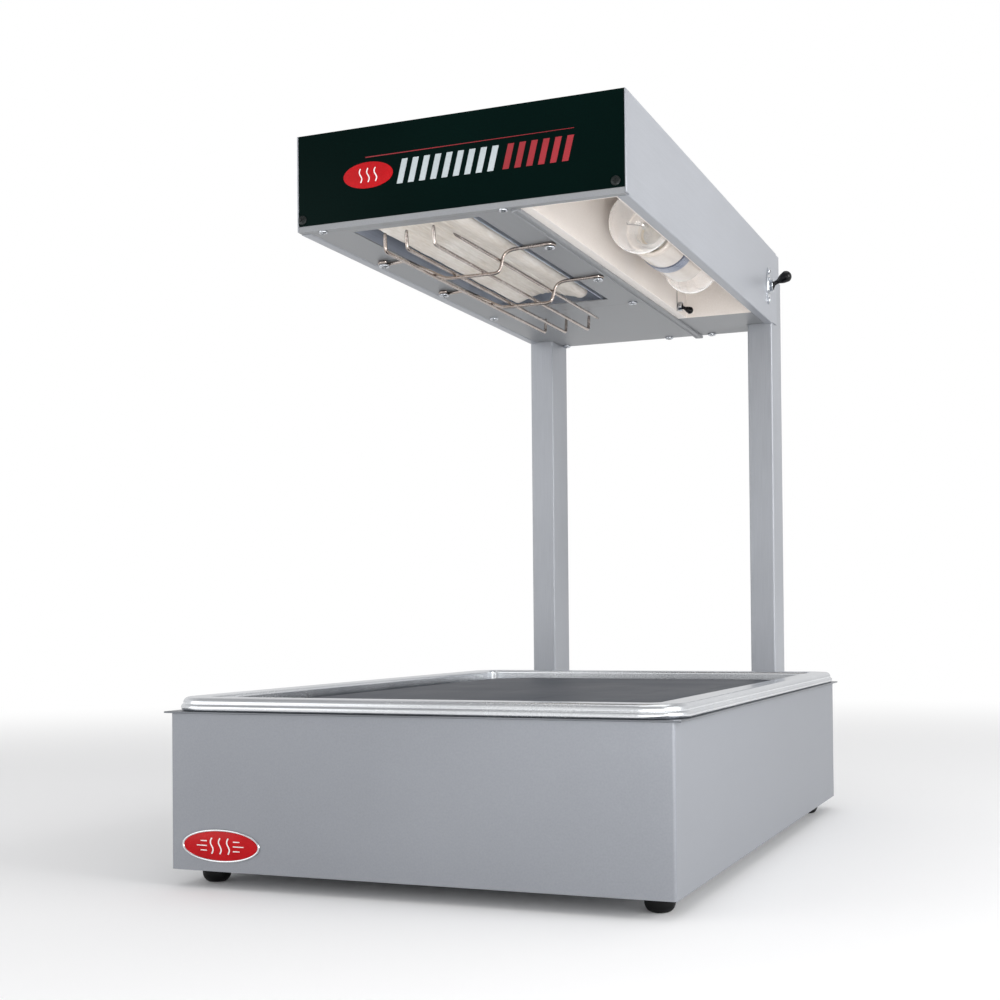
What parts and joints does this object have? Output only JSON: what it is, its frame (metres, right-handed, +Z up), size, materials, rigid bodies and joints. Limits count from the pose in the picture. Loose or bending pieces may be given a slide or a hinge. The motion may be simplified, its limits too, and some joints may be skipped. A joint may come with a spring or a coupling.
{
  "type": "heat lamp warmer",
  "caption": "Countertop food warmer: a grey base with a lift-out pan and insert, and an overhead head on rear posts with a guarded ceramic heater and display lamps.",
  "frame": {"origin": "centre of the whole warmer's footprint box, on the counter under the rubber feet", "axes": "+X to the operator's right, +Y from the fascia towards the posts, +Z up"},
  "size_m": [0.37, 0.616, 0.541],
  "materials": {
    "base_paint": "satin grey powder coat",
    "deck_steel": "brushed, with a dark folded edge",
    "foot_rubber": "moulded black rubber",
    "zinc_hardware": "bright zinc plate",
    "badge_rim": "bright bezel",
    "badge_red": "domed red gloss",
    "pan_steel": "bright polished stainless",
    "insert_coat": "dark slate hard coat",
    "post_metal": "satin anodised",
    "black_plastic": "black moulded",
    "plain_steel": "mill finish",
    "head_metal": "satin silver",
    "fascia_gloss": "near-black gloss",
    "black_screw": "black oxide",
    "panel_steel": "satin grey",
    "reflector_metal": "polished reflector sheet",
    "emitter_ceramic": "unglazed warm white",
    "insulation_fibre": "mineral fibre mat",
    "guard_wire": "heat-tinted bright wire",
    "trough_paint": "white enamel",
    "bracket_metal": "blue-grey anodised",
    "porcelain": "glazed porcelain",
    "bulb_glass": "clear coated glass",
    "lamp_brass": "plated screw shell",
    "filament_mount": "glass stem and tungsten wire",
    "switch_chrome": "bright plated",
    "lever_gloss": "black gloss",
    "wire_sleeve": "braided high-temperature sleeve"
  },
  "bodies": {
    "frame": {"base_shell": "base_paint", "base_deck": "deck_steel", "base_bottom_plate": "base_paint", "rubber_feet": "foot_rubber", "foot_studs": "zinc_hardware", "badge_bezel": "badge_rim", "badge_plate": "badge_red", "left_post": "post_metal", "right_post": "post_metal", "post_plugs": "black_plastic", "post_backing_plates": "plain_steel", "post_bolts": "zinc_hardware", "post_nuts": "zinc_hardware", "head_brackets": "plain_steel", "head_bracket_screws": "zinc_hardware", "head_housing": "head_metal", "front_fascia": "fascia_gloss", "fascia_screws": "black_screw", "front_rail": "panel_steel", "heater_panel": "panel_steel", "rear_bottom_panel": "panel_steel", "panel_screws": "zinc_hardware", "divider_rail": "panel_steel", "rear_cover": "head_metal", "rear_cover_screws": "zinc_hardware", "element_reflector": "reflector_metal", "ceramic_emitter": "emitter_ceramic", "emitter_studs": "plain_steel", "insulation_blanket": "insulation_fibre", "guard_crossbars": "guard_wire", "guard_wires": "guard_wire", "guard_screws": "zinc_hardware", "lamp_trough": "trough_paint", "lamp_bracket": "bracket_metal", "front_lampholder": "porcelain", "rear_lampholder": "porcelain", "front_bulb_glass": "bulb_glass", "rear_bulb_glass": "bulb_glass", "bulb_bases": "lamp_brass", "lamp_filaments": "filament_mount", "power_switch_plate": "switch_chrome", "power_switch_screws": "switch_chrome", "power_switch_body": "black_plastic", "power_switch_bushing": "switch_chrome", "power_switch_pin": "plain_steel", "lamp_switch_body": "black_plastic", "lamp_switch_bushing": "switch_chrome", "lamp_switch_pin": "plain_steel", "terminal_block": "porcelain", "wire_harness": "wire_sleeve", "cord_gland": "black_plastic", "gland_locknut": "zinc_hardware"},
    "pan": {"food_pan": "pan_steel"},
    "insert": {"pan_insert": "insert_coat"},
    "power_toggle": {"power_switch_lever": "lever_gloss"},
    "lamp_toggle": {"lamp_switch_lever": "lever_gloss"}
  },
  "joints": [
    {"name": "pan_lift", "type": "slide", "parent": "frame", "child": "pan", "axis": [0, 0, 1], "range_m": [0, 0.1]},
    {"name": "insert_lift", "type": "slide", "parent": "pan", "child": "insert", "axis": [0, 0, 1], "range_m": [0, 0.07]},
    {"name": "power_switch", "type": "hinge", "parent": "frame", "child": "power_toggle", "pos_m": [0.1302, 0.234, 0.5009], "axis": [0, 1, 0], "range_deg": [0, 54]},
    {"name": "lamp_switch", "type": "hinge", "parent": "frame", "child": "lamp_toggle", "pos_m": [0.0582, 0.17, 0.4749], "axis": [0, -1, 0], "range_deg": [0, 54]}
  ]
}
